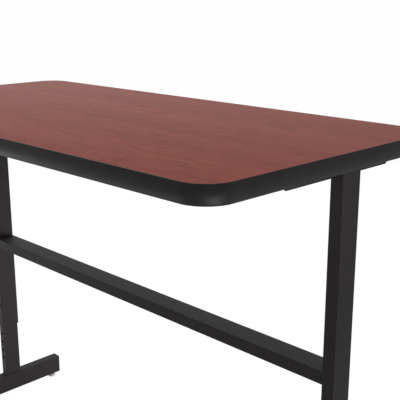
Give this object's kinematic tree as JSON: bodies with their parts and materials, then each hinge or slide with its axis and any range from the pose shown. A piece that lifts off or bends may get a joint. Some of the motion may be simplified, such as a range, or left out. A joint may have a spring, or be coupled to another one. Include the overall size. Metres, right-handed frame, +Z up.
{
  "type": "height-adjustable desk",
  "caption": "Rectangular desk with a wood-grain laminate top and rounded black edge, on two telescoping steel legs with long feet, joined by a crossbar.",
  "frame": {"origin": "on the floor under the middle of the top, midway between the desk's ends and between its front and back edges", "axes": "+X along the desk to the right as its user sees it, +Y from the user's side to the back, +Z up"},
  "size_m": [1.227, 0.6174, 0.8985],
  "materials": {
    "laminate": "red-brown cherry wood-grain laminate, satin",
    "board": "pressed wood particle board",
    "backer": "plain dark backing sheet",
    "edge_band": "black moulded vinyl, satin",
    "powder_coat": "black fine-textured powder coat",
    "lock_plastic": "black moulded nylon",
    "cap_plastic": "black moulded polyethylene",
    "guide_plastic": "dark grey nylon",
    "glide_plastic": "light grey nylon",
    "zinc": "bright zinc plate",
    "black_screw": "black oxide"
  },
  "bodies": {
    "left_base": {"left_lower_leg": "powder_coat", "left_leg_plug": "guide_plastic", "left_foot": "powder_coat", "left_foot_front_cap": "cap_plastic", "left_foot_back_cap": "cap_plastic", "left_glide_nuts": "zinc"},
    "top_frame": {"tabletop_core": "board", "top_laminate": "laminate", "backer_sheet": "backer", "edge_band": "edge_band", "left_top_bracket": "powder_coat", "right_top_bracket": "powder_coat", "left_bracket_screws": "zinc", "right_bracket_screws": "zinc", "left_upper_leg": "powder_coat", "right_upper_leg": "powder_coat", "left_leg_sleeve": "guide_plastic", "right_leg_sleeve": "guide_plastic", "left_lock_block": "lock_plastic", "right_lock_block": "lock_plastic", "crossbar": "powder_coat", "left_crossbar_stub": "powder_coat", "right_crossbar_stub": "powder_coat", "left_crossbar_screws": "black_screw", "right_crossbar_screws": "black_screw"},
    "right_base": {"right_lower_leg": "powder_coat", "right_leg_plug": "guide_plastic", "right_foot": "powder_coat", "right_foot_front_cap": "cap_plastic", "right_foot_back_cap": "cap_plastic", "right_glide_nuts": "zinc"},
    "left_lock_screw": {"left_lock_stem": "zinc"},
    "left_knob": {"left_lock_knob": "lock_plastic"},
    "right_lock_screw": {"right_lock_stem": "zinc"},
    "right_knob": {"right_lock_knob": "lock_plastic"},
    "left_front_glide": {"left_front_glide_stem": "zinc", "left_front_glide_base": "glide_plastic"},
    "left_back_glide": {"left_back_glide_stem": "zinc", "left_back_glide_base": "glide_plastic"},
    "right_front_glide": {"right_front_glide_stem": "zinc", "right_front_glide_base": "glide_plastic"},
    "right_back_glide": {"right_back_glide_stem": "zinc", "right_back_glide_base": "glide_plastic"}
  },
  "joints": [
    {"name": "height", "type": "slide", "parent": "left_base", "child": "top_frame", "axis": [0, 0, 1], "range_m": [-0.1524, 0.1524]},
    {"name": "right_leg_height", "type": "slide", "parent": "top_frame", "child": "right_base", "axis": [0, 0, -1], "range_m": [-0.1524, 0.1524]},
    {"name": "left_knob_turn", "type": "hinge", "parent": "left_lock_screw", "child": "left_knob", "pos_m": [-0.56832, 0.0246, 0.2671], "axis": [0, 1, 0], "range_deg": [0, 2160]},
    {"name": "left_screw_travel", "type": "slide", "parent": "top_frame", "child": "left_lock_screw", "axis": [0, 1, 0], "range_m": [0, 0.0075]},
    {"name": "right_knob_turn", "type": "hinge", "parent": "right_lock_screw", "child": "right_knob", "pos_m": [0.56832, 0.0246, 0.2671], "axis": [0, 1, 0], "range_deg": [0, 2160]},
    {"name": "right_screw_travel", "type": "slide", "parent": "top_frame", "child": "right_lock_screw", "axis": [0, 1, 0], "range_m": [0, 0.0075]},
    {"name": "left_front_glide_out", "type": "slide", "parent": "left_base", "child": "left_front_glide", "axis": [0, 0, -1], "range_m": [0, 0.012]},
    {"name": "left_back_glide_out", "type": "slide", "parent": "left_base", "child": "left_back_glide", "axis": [0, 0, -1], "range_m": [0, 0.012]},
    {"name": "right_front_glide_out", "type": "slide", "parent": "right_base", "child": "right_front_glide", "axis": [0, 0, -1], "range_m": [0, 0.012]},
    {"name": "right_back_glide_out", "type": "slide", "parent": "right_base", "child": "right_back_glide", "axis": [0, 0, -1], "range_m": [0, 0.012]}
  ],
  "couplings": [
    {"joint": "right_leg_height", "follows": "height", "ratio": 1},
    {"joint": "left_screw_travel", "follows": "left_knob_turn", "m_per_rad": 0.0001989},
    {"joint": "right_screw_travel", "follows": "right_knob_turn", "m_per_rad": 0.0001989}
  ]
}
